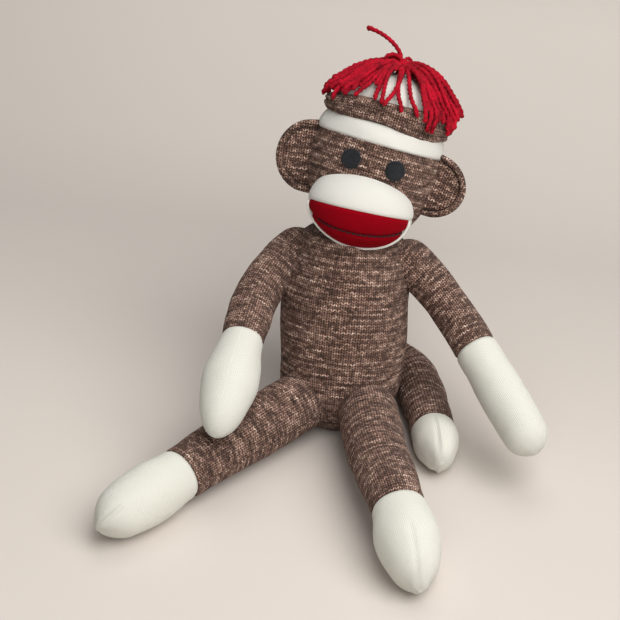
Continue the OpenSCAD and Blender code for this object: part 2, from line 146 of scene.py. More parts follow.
def turned(origin, x, y, z, profile, n, change=None):
    """Rings of a turned form. The profile holds [radius, height] pairs."""
    p = np.array(profile, float)
    a = np.linspace(0, 2 * math.pi, n, endpoint=False)
    r = p[:, 0][:, None] + (change(p[:, 1][:, None], a[None, :]) if change else 0)
    return (origin + p[:, 1][:, None, None] * z
            + (r * np.cos(a))[..., None] * x + (r * np.sin(a))[..., None] * y)


def lumps(P, amount, size, seed):
    """Moves a form's points in and out a little, as uneven stuffing does."""
    middle = P.mean(axis=1, keepdims=True)
    out = P - middle
    r = np.linalg.norm(out, axis=-1, keepdims=True)
    push = np.array([[noise.noise(Vector(q / size) + Vector((seed, seed * 2.3, 0))) for q in row] for row in P])
    return P + np.where(r > 1e-6, out / np.maximum(r, 1e-6), 0) * (push * amount)[..., None] * np.minimum(r / 8, 1)


def placed(name, mesh, material, body=None):
    """A smooth object in the scene from a mesh, riding on a body."""
    mesh.polygons.foreach_set("use_smooth", [True] * len(mesh.polygons))
    mesh.update()
    mesh.materials.append(material)
    piece = bpy.data.objects.new(name, mesh)
    bpy.context.scene.collection.objects.link(piece)
    if body:
        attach(piece, body)
    return piece


def skin(name, P, around, material, body=None, closed=True, caps=(False, False), loop=False, flip=False,
         offset=0.0, keep=None):
    """A mesh from rows of points, with knit coordinates in millimetres: around the tube and along it.

    closed joins a row's last point to its first, loop joins the last row to the first, caps fill the
    first and the last row, and keep masks the faces.
    """
    rows, n = P.shape[:2]
    verts = [tuple(q) for q in (P.reshape(-1, 3) / MM)]
    v_at = np.r_[0, np.cumsum(np.linalg.norm(np.diff(P, axis=0), axis=2).mean(axis=1))] + offset
    faces, uvs = [], []
    cols = n if closed else n - 1
    for i in range(rows if loop else rows - 1):
        i2 = (i + 1) % rows
        v0, v1 = v_at[i], v_at[i2] if i2 else v_at[i] + (v_at[1] - v_at[0])
        for j in range(cols):
            if keep is not None and not keep[i, j]:
                continue
            j2 = (j + 1) % n
            u0, u1 = j / cols * around, (j + 1) / cols * around
            faces.append((i * n + j, i * n + j2, i2 * n + j2, i2 * n + j))
            uvs += [(u0, v0), (u1, v0), (u1, v1), (u0, v1)]
    for end, row in ((caps[0], 0), (caps[1], rows - 1)):
        if end:
            verts.append(tuple(P[row].mean(axis=0) / MM))
            for j in range(cols):
                a, b = row * n + j, row * n + (j + 1) % n
                faces.append((b, a, len(verts) - 1) if row == 0 else (a, b, len(verts) - 1))
                u0, u1 = j / cols * around, (j + 1) / cols * around
                u0, u1 = (u1, u0) if row == 0 else (u0, u1)
                uvs += [(u0, v_at[row]), (u1, v_at[row]), ((u0 + u1) / 2, v_at[row])]
    used = sorted({k for face in faces for k in face})
    place = {k: i for i, k in enumerate(used)}
    mesh = bpy.data.meshes.new(name)
    mesh.from_pydata([verts[k] for k in used], [], [tuple(place[k] for k in face) for face in faces])
    layer = mesh.uv_layers.new(name="knit")
    layer.data.foreach_set("uv", np.array(uvs, np.float32).ravel())
    if flip:
        mesh.flip_normals()
    return placed(name, mesh, material, body)


def joined(name, parts, material, body):
    """One mesh from several (points, faces) parts, smooth."""
    verts, faces = [], []
    for p, f in parts:
        k = len(verts)
        verts += [tuple(q) for q in np.asarray(p) / MM]
        faces += [tuple(i + k for i in g) for g in f]
    mesh = bpy.data.meshes.new(name)
    mesh.from_pydata(verts, [], faces)
    return placed(name, mesh, material, body)


def cable(points, radius, n, step, lobes=0, twist=0.0, flare=0.0):
    """A closed round or plied strand through points, as a (points, faces) part. flare thickens its far end."""
    path = spline(points, step)
    d = lengths(path)
    along = np.gradient(path, axis=0)
    along /= np.linalg.norm(along, axis=1)[:, None]
    x = np.cross(along[0], [0.31, 0.52, 0.8])
    frames = []
    for t in along:
        x = unit(x - (x @ t) * t)
        frames.append((x, np.cross(t, x)))
    a = np.linspace(0, 2 * math.pi, n, endpoint=False)
    P = []
    for c, s, (fx, fy) in zip(path, d, frames):
        end = min(s, d[-1] - s)
        r = radius * min(1, 0.35 + 0.65 * math.sqrt(min(end / radius, 1)))
        r *= 1 + flare * math.exp(-((d[-1] - s - radius) / (radius * 1.6))**2)
        wave = r * (1 + (0.26 * np.cos(lobes * a + twist * s) if lobes else 0))
        P.append(c + (wave * np.cos(a))[:, None] * fx + (wave * np.sin(a))[:, None] * fy)
    P = np.array(P)
    rows = len(P)
    faces = [(i * n + j, i * n + (j + 1) % n, (i + 1) * n + (j + 1) % n, (i + 1) * n + j)
             for i in range(rows - 1) for j in range(n)]
    faces += [tuple(range(n))[::-1], tuple((rows - 1) * n + j for j in range(n))]
    return P.reshape(-1, 3), faces


def puff(piece, held):
    """Fills a piece as cloth under pressure, with each point kept within MAX_SWELL of its place.

    held(points in mm) gives the indices of the points that stay where they are.
    """
    rest = np.array([v.co for v in piece.data.vertices])
    cloth = piece.modifiers.new("cloth", "CLOTH")
    cloth.settings.quality = 5
    cloth.settings.mass = 0.15
    cloth.settings.tension_stiffness = cloth.settings.compression_stiffness = 12
    cloth.settings.bending_stiffness = 0.3
    cloth.settings.shrink_min = -0.045
    cloth.settings.use_pressure = True
    cloth.settings.uniform_pressure_force = 4.0
    cloth.settings.effector_weights.gravity = 0
    cloth.point_cache.frame_end = CLOTH_FRAMES + 2
    group = piece.vertex_groups.new(name="held")
    group.add([int(i) for i in held(rest * MM)], 1.0, "REPLACE")
    cloth.settings.vertex_group_mass = "held"
    for f in range(1, CLOTH_FRAMES + 1):
        bpy.context.scene.frame_set(f)
    found = piece.evaluated_get(bpy.context.evaluated_depsgraph_get()).data
    moved = np.array([v.co for v in found.vertices]) - rest
    far = np.linalg.norm(moved, axis=1, keepdims=True) * MM
    moved *= MAX_SWELL * np.tanh(far / MAX_SWELL) / np.maximum(far, 1e-6)
    piece.modifiers.remove(cloth)
    piece.vertex_groups.clear()
    for v, q in zip(piece.data.vertices, rest + moved):
        v.co = q
    bpy.context.scene.frame_set(1)
    piece.data.update()


def groove(distance, width, depth):
    """What a seam takes off a radius."""
    return -depth * np.exp(-(distance / width)**2)


# ---- materials

OBJECT_SPACE = 3          # the output of a texture coordinate node


class Shader:
    """A material's nodes, made by short calls."""

    def __init__(self, name):
        self.material = bpy.data.materials.new(name)
        self.material.use_nodes = True
        self.tree = self.material.node_tree
        self.shader = self.tree.nodes["Principled BSDF"]

    def put(self, socket, value):
        if isinstance(value, bpy.types.NodeSocket):
            self.tree.links.new(value, socket)
        else:
            socket.default_value = value

    def node(self, kind, inputs=(), output=0, **settings):
        made = self.tree.nodes.new("ShaderNode" + kind)
        for k, v in settings.items():
            setattr(made, k, v)
        for k, v in dict(inputs).items():
            self.put(made.inputs[k], v)
        return made.outputs[output]

    def math(self, operation, a, b=0.0, c=0.0):
        return self.node("Math", {0: a, 1: b, 2: c}, operation=operation)

    def vector(self, x, y, z=0.0):
        return self.node("CombineXYZ", {0: x, 1: y, 2: z})

    def split(self, vector):
        """The x and y of a vector."""
        made = self.tree.nodes.new("ShaderNodeSeparateXYZ")
        self.put(made.inputs[0], vector)
        return made.outputs[0], made.outputs[1]

    def grey(self, value):
        return self.node("CombineColor", {0: value, 1: value, 2: value})

    def noise(self, vector, scale, detail=2.0, rough=0.5):
        return self.node("TexNoise", {"Vector": vector, "Scale": scale, "Detail": detail, "Roughness": rough})

    def ramp(self, value, stops):
        made = self.tree.nodes.new("ShaderNodeValToRGB")
        self.put(made.inputs[0], value)
        elements = made.color_ramp.elements
        while len(elements) < len(stops):
            elements.new(0.5)
        for e, (at, colour) in zip(elements, stops):
            e.position = at
            e.color = (*colour, 1)
        return made.outputs[0]

    def mix(self, factor, a, b, blend="MIX"):
        made = self.tree.nodes.new("ShaderNodeMix")
        made.data_type = "RGBA"
        made.blend_type = blend
        for k, v in ((0, factor), (6, a), (7, b)):
            self.put(made.inputs[k], (*v, 1) if isinstance(v, tuple) and len(v) == 3 else v)
        return made.outputs[2]

    def knit(self, wale, course):
        """The height of stocking stitch, its course number and its coordinates."""
        uv = self.node("UVMap", uv_map="knit")
        u, v = self.split(uv)
        wander = self.math("MULTIPLY_ADD", self.noise(uv, 0.11), 1.1, -0.55)
        u2, v2 = self.math("ADD", u, wander), self.math("ADD", v, wander)
        side = self.math("ABSOLUTE", self.math("SUBTRACT", self.math("FRACT", self.math("DIVIDE", u2, wale)), 0.5))
        row = self.math("ADD", self.math("DIVIDE", v2, course), self.math("MULTIPLY", side, 1.5))
        leg = self.arch(side, 0.25, 4.0)
        stitch = self.arch(self.math("FRACT", row), 0.5, 2.0)
        height = self.math("MULTIPLY", self.math("MULTIPLY_ADD", leg, 0.75, 0.25),
                           self.math("MULTIPLY_ADD", stitch, 0.85, 0.15))
        return height, self.math("FLOOR", row), u2, v2

    def arch(self, value, middle, scale):
        """1 where the value is at the middle, and down to 0 at 1 / scale from it."""
        far = self.math("MULTIPLY", self.math("ABSOLUTE", self.math("SUBTRACT", value, middle)), scale)
        return self.math("SUBTRACT", 1.0, self.math("POWER", far, 2.0))

    def bump(self, height, distance, strength):
        return self.node("Bump", {"Height": height, "Distance": distance, "Strength": strength})

    def finish(self, colour, roughness, normal, **values):
        self.put(self.shader.inputs["Base Color"], colour)
        self.put(self.shader.inputs["Roughness"], roughness)
        self.put(self.shader.inputs["Normal"], normal)
        for k, v in values.items():
            self.shader.inputs[k.replace("_", " ")].default_value = v
        return self.material


def heather_knit():
    """Marled brown, dark and cream yarn, whose colour changes slowly along each course."""
    s = Shader("brown_heather_knit")
    wale, course = 3.7, 2.0
    height, row, u, v = s.knit(wale, course)
    along = s.noise(s.vector(s.math("MULTIPLY", u, 0.07), s.math("MULTIPLY", row, 0.83)), 1.0, 3.0, 0.6)
    bands = s.noise(s.vector(s.math("MULTIPLY", u, 0.03), s.math("MULTIPLY", v, 0.42), 5.0), 1.0, 2.0, 0.6)
    fleck = s.noise(s.vector(s.math("MULTIPLY", u, 0.33), s.math("MULTIPLY", row, 3.7), 9.0), 1.0, 1.0, 0.5)
    tone = s.math("ADD", s.math("MULTIPLY_ADD", along, 1.1, -0.55), s.math("MULTIPLY_ADD", bands, 0.9, -0.45))
    tone = s.math("ADD", s.math("ADD", tone, s.math("MULTIPLY_ADD", fleck, 0.85, -0.425)), 0.395)
    colour = s.ramp(tone, [(0.0, (0.035, 0.015, 0.010)), (0.3, (0.13, 0.066, 0.046)),
                           (0.5, (0.33, 0.195, 0.146)), (0.72, (0.66, 0.475, 0.38)), (1.0, (1.0, 0.88, 0.76))])
    # Painted shade in the gaps between stitches and painted light on the stitches' crowns, taken from the stitch
    # height.
    painted_stitch_shading = s.math("MULTIPLY_ADD", height, 2.2, -0.22)
    colour = s.mix(1.0, colour, s.grey(painted_stitch_shading), "MULTIPLY")
    fuzz = s.noise(s.vector(u, v), 2.6, 2.0)
    normal = s.bump(s.math("ADD", height, s.math("MULTIPLY", fuzz, 0.5)), 0.0014, 1.0)
    return s.finish(colour, 0.92, normal, Sheen_Weight=0.08, Sheen_Roughness=0.6, Specular_IOR_Level=0.2)


def plain_knit(name, colour, shade, wale, course, gap_light, variation=0.06, sheen=0.2):
    """A fine knit in one colour, with painted shade in the gaps between its stitches. gap_light is how light that
    painted shade leaves the gaps, from 0 to 1.
    """
    s = Shader(name)
    height, row, u, v = s.knit(wale, course)
    broad = s.noise(s.vector(u, v), 0.06, 3.0)
    thread = s.noise(s.vector(s.math("MULTIPLY", u, 0.5), s.math("MULTIPLY", row, 2.1)), 1.0, 2.0)
    tone = s.math("ADD", s.math("MULTIPLY", broad, variation), s.math("MULTIPLY", thread, variation))
    colour = s.mix(tone, colour, shade)
    # Painted shade in the gaps between stitches, taken from the stitch height.
    painted_stitch_shading = s.math("MULTIPLY_ADD", height, 1 - gap_light, gap_light)
    colour = s.mix(1.0, colour, s.grey(painted_stitch_shading), "MULTIPLY")
    fuzz = s.noise(s.vector(u, v), 2.2, 3.0)
    normal = s.bump(s.math("ADD", height, s.math("MULTIPLY", fuzz, 0.6)), 0.0005, 0.6)
    return s.finish(colour, 0.9, normal, Sheen_Weight=sheen, Sheen_Roughness=0.5, Specular_IOR_Level=0.08)


def fibre(name, colour, shade, scale, bump, rough, sheen):
    """Felt, thread or yarn: matted fibres in object space."""
    s = Shader(name)
    place = s.node("TexCoord", output=OBJECT_SPACE)
    fine, broad = s.noise(place, scale, 4.0, 0.65), s.noise(place, scale * 0.16, 2.0)
    tone = s.math("ADD", s.math("MULTIPLY", fine, 0.7), s.math("MULTIPLY", broad, 0.5))
    colour = s.ramp(tone, [(0.35, shade), (0.75, colour)])
    return s.finish(colour, rough, s.bump(fine, bump, 0.9), Sheen_Weight=sheen, Sheen_Roughness=0.45,
                    Specular_IOR_Level=0.25)


BROWN = heather_knit()
CREAM = plain_knit("cream_knit", (0.84, 0.84, 0.755), (0.68, 0.675, 0.58), 2.3, 1.5, 0.78)
CREAM_FINE = plain_knit("cream_fine_knit", (0.88, 0.87, 0.81), (0.70, 0.685, 0.62), 1.6, 1.2, 0.8)
RED_KNIT = plain_knit("red_lip_knit", (0.42, 0.0, 0.010), (0.20, 0.0, 0.003), 1.5, 1.1, 0.5, 0.3, 0.0)
# The red yarn's near-black tone is painted shade between strands, laid in random blotches over the yarn's own
# uneven red.
YARN = fibre("red_yarn", (0.60, 0.003, 0.024), (0.06, 0.0, 0.002), 700, 0.0012, 0.95, 0.0)
FELT = fibre("black_felt", (0.022, 0.024, 0.028), (0.006, 0.007, 0.009), 1500, 0.0004, 0.95, 0.25)
THREAD = fibre("black_thread", (0.02, 0.018, 0.02), (0.008, 0.006, 0.008), 2400, 0.0002, 0.7, 0.1)
BROWN_THREAD = fibre("brown_thread", (0.035, 0.02, 0.016), (0.012, 0.007, 0.006), 2400, 0.0002, 0.8, 0.1)


def piece_of(piece, nodes):
    """Hides the imported nodes that a piece stands for, and returns the piece."""
    if nodes:
        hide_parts(*nodes)
    return piece


# ---- places, from the frame's joints

PIVOT = {j["name"]: np.array(j["pos_m"]) * MM for j in frame["joints"]}
TORSO_LEAN, TORSO_SIDE, TORSO_LEN = math.radians(18), math.radians(1.5), 107
HEAD_NOD, HEAD_TILT, HEAD_RISE = math.radians(27), math.radians(12), 41


def lean_axes(back, side):
    """The x, y and z axes of a form that leans back and then to a side."""
    cb, sb, cs, ss = math.cos(back), math.sin(back), math.cos(side), math.sin(side)
    turn_y = np.array([[cs, 0, ss], [0, 1, 0], [-ss, 0, cs]])
    turn_x = np.array([[1, 0, 0], [0, cb, sb], [0, -sb, cb]])
    return (turn_y @ turn_x).T


NECK = PIVOT["neck_turn"]
TX, TY, TZ = lean_axes(TORSO_LEAN, TORSO_SIDE)
SEAT = NECK - TORSO_LEN * TZ
HX, HY, HZ = lean_axes(HEAD_NOD, HEAD_TILT)
HEAD = NECK + HEAD_RISE * HZ
SIDES = {"left": 1, "right": -1}


def in_head(x, y, z):
    """A point from its place in the head: to the toy's left, to its back and up."""
    return HEAD + x * HX + y * HY + z * HZ


# ---- torso and neck

def torso():
    seat_r, r = 46.2, 48.6
    bottom = [(seat_r * math.cos(a), seat_r * math.sin(a)) for a in np.linspace(-math.pi / 2, -0.05, 24)]
    knots = [(0, seat_r), (TORSO_LEN * 0.37, r), (TORSO_LEN * 0.62, r - 1.2), (TORSO_LEN * 0.8, r - 5),
             (TORSO_LEN * 0.9, 40.5), (TORSO_LEN - 1, 36), (TORSO_LEN + 4, 28)]
    heights = np.arange(0, TORSO_LEN + 4, 1.6)
    side = [(float(curve(knots, z)), z) for z in heights]

    def shape(z, a):
        up = np.clip(z / 60, 0, 1)
        wide = np.where(np.cos(a) < 0, 1.6, -3.4) * np.sin(np.clip(z / 85, 0, 1) * math.pi) * np.cos(a)**2
        return wide * up
    P = turned(SEAT, TX, TY, TZ, bottom + side, 120, shape)
    P = lumps(P, 1.3, 30, 3)
    z = P[..., 2]
    P[..., 2] = np.where(z < 3, 0.3 + 2.7 * np.exp((z - 3) / 2.7), z)       # the seat flattens on the floor
    piece = skin("torso", P, 300, BROWN, "torso", caps=(True, True))
    puff(piece, lambda co: np.nonzero((co[:, 2] < 4) | ((co - SEAT) @ TZ > TORSO_LEN - 4))[0])
    piece_of(piece, ["torso_cover", "torso_stuffing"])


def neck():
    ball = [(22.8 * math.cos(a), 22.8 * math.sin(a)) for a in np.linspace(-1.15, 1.15, 26)]
    P = turned(NECK, TX, TY, TZ, ball, 72)
    piece = skin("neck_sleeve", lumps(P, 0.5, 12, 9), 144, BROWN, "neck_sleeve", caps=(True, True))
    piece_of(piece, ["neck_cover", "neck_stuffing"])


# ---- limbs

def limb(name, cream_part, path, side, knots, cuff, domes, around, seed, flat=1.0, tip=None):
    """A brown sleeve and its cream end, on one path. Returns both pieces.

    knots give the radius along the path, cuff is where the colours meet, domes are the lengths of the
    rounded ends, and flat is how thick the tip is for its width.
    """
    total = lengths(path)[-1]
    s = rows_along(total, domes[0], domes[1], 1.5)
    s = np.sort(np.r_[s[np.abs(s - cuff) > 0.8], cuff])

    def radius(t):
        return curve(knots, t) * dome_factor(t, total, *domes)

    def change(t, a):
        more = groove(t - cuff, SEAM_WIDTH, SEAM_DEPTH) * np.ones_like(a)
        return more + (tip(t, a, total) if tip else 0)

    d = lengths(path)
    root, cuff_at = path[0], np.array([np.interp(cuff, d, path[:, k]) for k in range(3)])

    def held(co):
        near_cuff, near_root = (np.linalg.norm(co - q, axis=1) for q in (cuff_at, root))
        return np.nonzero((near_cuff < 21) | (near_root < 20))[0]

    made = []
    for part, span, material in (("sleeve", s <= cuff, BROWN), (cream_part, s >= cuff, CREAM)):
        t = s[span]
        r = radius(t)
        P = rings(path, side, t, r, r * (curve([(0, 1), (cuff, 1), (total, flat)], t)), 84, change)
        P = lumps(P, 0.9 if part == "sleeve" else 0.6, 16, seed)
        ring = P[-1] if part == "sleeve" else P[0]
        middle = ring.mean(axis=0)
        tuck = middle + (ring - middle) * 0.9
        P = np.concatenate([P, tuck[None]]) if part == "sleeve" else np.concatenate([tuck[None], P])
        caps = (True, False) if part == "sleeve" else (False, True)
        made.append(skin(name + part, P, around, material, caps=caps, offset=t[0]))
        puff(made[-1], held)
    return made


def toe(amount, start, turn):
    """A seam that runs over the tip, with the tip pressed towards it by amount millimetres.

    start is where it begins, from 0 to 1 along the limb, and turn is its angle about the limb.
    """
    def change(t, a, total):
        near = np.clip((t - start * total) / ((1 - start) * total), 0, 1)
        across = np.abs(np.cos(a + turn))
        r = 14 * np.sqrt(np.clip(1 - near**2, 0.02, 1))
        seam = 0.9 * np.exp(-(across * r / 0.9)**2) - 0.7 * np.exp(-((across * r - 2.0) / 1.1)**2)
        return (seam * np.clip(near * 5, 0, 1) - amount * across**2 * near) * np.clip((1 - near) * 9, 0.0, 1)
    return change


FORE_ARMS = {"left": (40.3, 27.5), "right": (-2, 23.6)}                   # heading and drop in degrees
FORE_ARM_LEN, HAND_LEN = {"left": 139, "right": 140}, {"left": 93, "right": 87}
ELBOW_SET = {"left": (-3.0, 0, 0.0), "right": (6.8, 0, -6.0)}             # how far the sag moves a bend or an end
HAND_SET = {"left": (0, 0, 0), "right": (9.0, -7, 0.5)}
ARM_ROOT, ARM_BLEND = 17, 20


def arm(side):
    shoulder, elbow = PIVOT[side + "_shoulder_swing"], PIVOT[side + "_elbow_bend"]
    upper, fore = unit(elbow - shoulder), heading(*FORE_ARMS[side])
    start, end = shoulder - ARM_ROOT * upper, elbow + FORE_ARM_LEN[side] * fore + HAND_SET[side]
    path = spline(rounded([start, elbow + ELBOW_SET[side], end], 34), 1.0)
    total = lengths(path)[-1]
    cuff = total - HAND_LEN[side]
    thick, palm, tip_r = (15.4, 17.3, 16.2) if side == "left" else (16.4, 20.8, 15.0)
    knots = [(0, 16.5), (24, 16.8), (44, thick + 0.3), (cuff - 16, thick), (cuff, 15.8), (cuff + 46, palm),
             (total - 30, (palm + tip_r) / 2 + 0.8), (total - 12, tip_r), (total, tip_r - 2)]
    hinge = unit(np.cross(upper, fore))
    domes = (16.5, 16 if side == "left" else 21)
    sleeve, hand = limb(side + "_arm_", "hand", path, hinge, knots, cuff, domes, 104, 11 + SIDES[side], flat=0.93)
    piece_of(sleeve, [side + n for n in (
        "_shoulder_fill", "_upper_sleeve", "_upper_arm_fill", "_fore_sleeve")])
    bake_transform(sleeve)
    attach(hand, side + "_fore_arm")
    piece_of(hand, [side + "_hand_cover", side + "_fore_arm_fill"])


FEET = {"left": (27, 19), "right": (-35.5, 2.8)}                          # heading and drop in degrees
SHIN_LEN, FOOT_LEN = 62, {"left": 68, "right": 79}
TOE_SEAMS = {"left": (0.79, 0.12), "right": (0.91, 0.6)}                  # where it starts, and its turn
KNEE_SET = {"left": (-4.5, 0, 0), "right": (0, -3, 0)}
CUFF_SET = {"left": (0, 0, 0), "right": (1.5, -5.5, 0)}
TOE_SET = {"left": (-4, -1, 0), "right": (5, -1, 0)}
LEG_ROOT, LEG_BLEND = 20, 24


def leg(side):
    hip, knee = PIVOT[side + "_hip_spread"], PIVOT[side + "_knee_bend"]
    line, foot = unit(knee - hip), heading(*FEET[side])
    ankle = knee + SHIN_LEN * line + CUFF_SET[side]
    toe_at = ankle + 70 * foot + TOE_SET[side]
    path = spline(rounded([hip - LEG_ROOT * line, knee + KNEE_SET[side], ankle, toe_at], 20), 1.0)
    total = lengths(path)[-1]
    cuff = total - FOOT_LEN[side]
    full = 23.0 if side == "left" else 21.6
    knots = [(0, 20.5), (20, 21.8), (42, 22.4), (82, 21.4), (cuff - 20, 20.2), (cuff, 19.2), (cuff + 30, full),
             (total - 20, full - 2.8), (total, 13.5)]
    hinge = unit(np.cross([0, 0, 1], line))
    sleeve, foot_piece = limb(side + "_leg_", "foot", path, hinge, knots, cuff, (19, 17), 132, 21 + SIDES[side],
                              tip=toe(3.8, *TOE_SEAMS[side]))
    piece_of(sleeve, [side + n for n in ("_hip_fill", "_thigh_cover", "_thigh_fill", "_shin_cover")])
    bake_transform(sleeve)
    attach(foot_piece, side + "_shin")
    piece_of(foot_piece, [side + "_foot_cover", side + "_shin_fill"])


def tail():
    root, bend = PIVOT["tail_swing"], PIVOT["tail_bend"]
    first, end = unit(bend - root), heading(14.7, 0.6)
    mid_len, tip_len = 88, 45
    corner = bend + np.array([-7.0, 0, -9.0])
    last = corner + (mid_len + tip_len + 4) * end + (9.5, 0, 9)
    path = spline(rounded([root - 12 * first, corner, last], 30), 1.0)
    total = lengths(path)[-1]
    cuff = total - tip_len
    knots = [(0, 12.5), (20, 14.2), (50, 16.6), (cuff - 30, 17.4), (cuff, 16.2), (cuff + 20, 18.2),
             (total - 14, 15.6), (total, 13)]
    hinge = unit(np.cross(first, end))
    sleeve, tip_piece = limb("tail_", "tip", path, hinge, knots, cuff, (12.5, 14), 92, 31,
                             tip=toe(4.2, 0.76, math.pi / 2 - 0.15))
    piece_of(sleeve, ["tail_root_fill", "tail_root_cover", "tail_mid_fill", "tail_end_cover"])
    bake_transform(sleeve)
    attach(tip_piece, "tail_end")
    piece_of(tip_piece, ["tail_tip_cover", "tail_end_fill"])


# ---- head

CROWN_Z, CROWN_H, CROWN_R = 58, 22, 38.5
BRIM_Z, BRIM_R = 48.6, 42.6
HEAD_KNOTS = [(-33, 31), (-28, 36.5), (-20, 41.5), (-8, 46), (6, 48), (18, 47.8), (29, 47)]


def head_radius(z):
    """The head's radius at a height."""
    return curve(HEAD_KNOTS, np.asarray(z, float))


def head():
    chin = [(31 * math.sin(a), -33 - 4 * math.cos(a)) for a in np.linspace(0.02, math.pi / 2, 9)[:-1]]
    side = [(float(head_radius(z)) - 0.9 * max(0, (z - 20) / 10), z) for z in np.arange(-33, 30.5, 1.5)]
    top = [(46.2, 30.5), (44, 32), (38, 33)]
    P = lumps(turned(HEAD, HX, HY, HZ, chin + side + top, 132), 0.8, 24, 5)
    piece = skin("head", P, 300, BROWN, "head", caps=(True, True))
    piece_of(piece, ["head_cover", "head_stuffing"])


def hat():
    band = [(44, 27.0), (46.8, 27.0), (47.8, 27.9), (48.0, 30), (47.2, 34), (45.6, 38), (43.6, 41.5),
            (40, 43.5), (34, 44)]
    P = turned(HEAD, HX, HY, HZ, spline(band, 1.0), 132, lambda z, a: 0.35 * np.sin(5 * a + z * 0.3))
    piece = skin("hat_band", lumps(P, 0.5, 9, 2), 300, CREAM_FINE, "head", caps=(True, True))
    piece_of(piece, ["hat_band"])

    crown = [((CROWN_R - 0.4) * math.cos(a), CROWN_Z - 3 + (CROWN_H + 2.6) * math.sin(a)**1.1) for a in
             np.linspace(0, math.pi / 2 - 0.03, 26)]
    P = turned(HEAD, HX, HY, HZ, [(30, 50), (36, 52)] + crown, 120)
    piece = skin("hat_crown", lumps(P, 1.0, 18, 6), 240, CREAM_FINE, "head", caps=(True, True))
    piece_of(piece, ["hat_crown", "hat_stuffing"])

    n, m = 160, 36                                  # round the head, and round the roll
    rows = []
    for k in range(m):
        b = 2 * math.pi * k / m
        row = []
        for j in range(n):
            a = 2 * math.pi * j / n
            wide, tall = 5.6 + 0.5 * math.sin(2 * a + 1), 7.9 + 1.9 * math.cos(a + 0.5) + 0.7 * math.sin(5 * a)
            bend = 1.0 + 0.22 * math.sin(b)
            r = BRIM_R + wide * math.cos(b) * bend - 0.28 * tall * math.sin(b) * 0.6
            z = BRIM_Z + 0.9 * math.cos(a) + tall * math.sin(b) + 1.2 * math.sin(3 * a + 0.5)
            if math.cos(b) > 0:
                r -= 1.8 * math.exp(-((math.sin(b) + 0.25 + 0.3 * math.sin(a + 1.6)) / 0.15)**2)
            row.append(in_head(r * math.cos(a), r * math.sin(a), z))
        rows.append(row)
    piece = skin("hat_brim", lumps(np.array(rows), 0.8, 9, 4), 300, BROWN, "head", loop=True)
    piece_of(piece, ["hat_brim"])


MUZZLE_AT, MUZZLE_SIZE = (1, -29, -21), (39, 31, 26)
MUZZLE_NOD, MUZZLE_ROLL = math.radians(8), math.radians(-4)


def muzzle_point(across, up, swell=0.0):
    """A point of the muzzle from its turn from the front and its height angle, in radians."""
    a, b, c = (v + swell for v in MUZZLE_SIZE)
    full = 1.06 - 0.18 * math.sin(across) if up < 0 else 1.12 + 0.1 * math.sin(across)
    x = a * math.copysign(abs(math.sin(across))**0.94, math.sin(across)) * max(math.cos(up), 0)**full
    y = -b * math.cos(across) * max(math.cos(up), 0)**0.95
    z = c * math.sin(up) * (1.1 if up < 0 else 1.13)
    cos, sin = math.cos(MUZZLE_NOD), math.sin(MUZZLE_NOD)
    y, z = y * cos - z * sin, y * sin + z * cos
    cos, sin = math.cos(MUZZLE_ROLL), math.sin(MUZZLE_ROLL)
    x, z = x * cos + z * sin, -x * sin + z * cos
    return in_head(MUZZLE_AT[0] + x, MUZZLE_AT[1] + y, MUZZLE_AT[2] + z)


MUZZLE_REACH = math.radians(96)
LIPS_FRONT = 0.34         # the lips are the part of the muzzle that looks this much forwards
TUCK = -2.5               # how deep the edge between cream and red goes in


def lip_up(across):
    """The height angle where the cream meets the lips."""
    return math.radians(-1.5 + 8.5 * max(math.cos(across), 0))


def mouth_up(across):
    """The height angle of the mouth line."""
    return math.radians(-31 + 15 * (across / 1.3)**2)


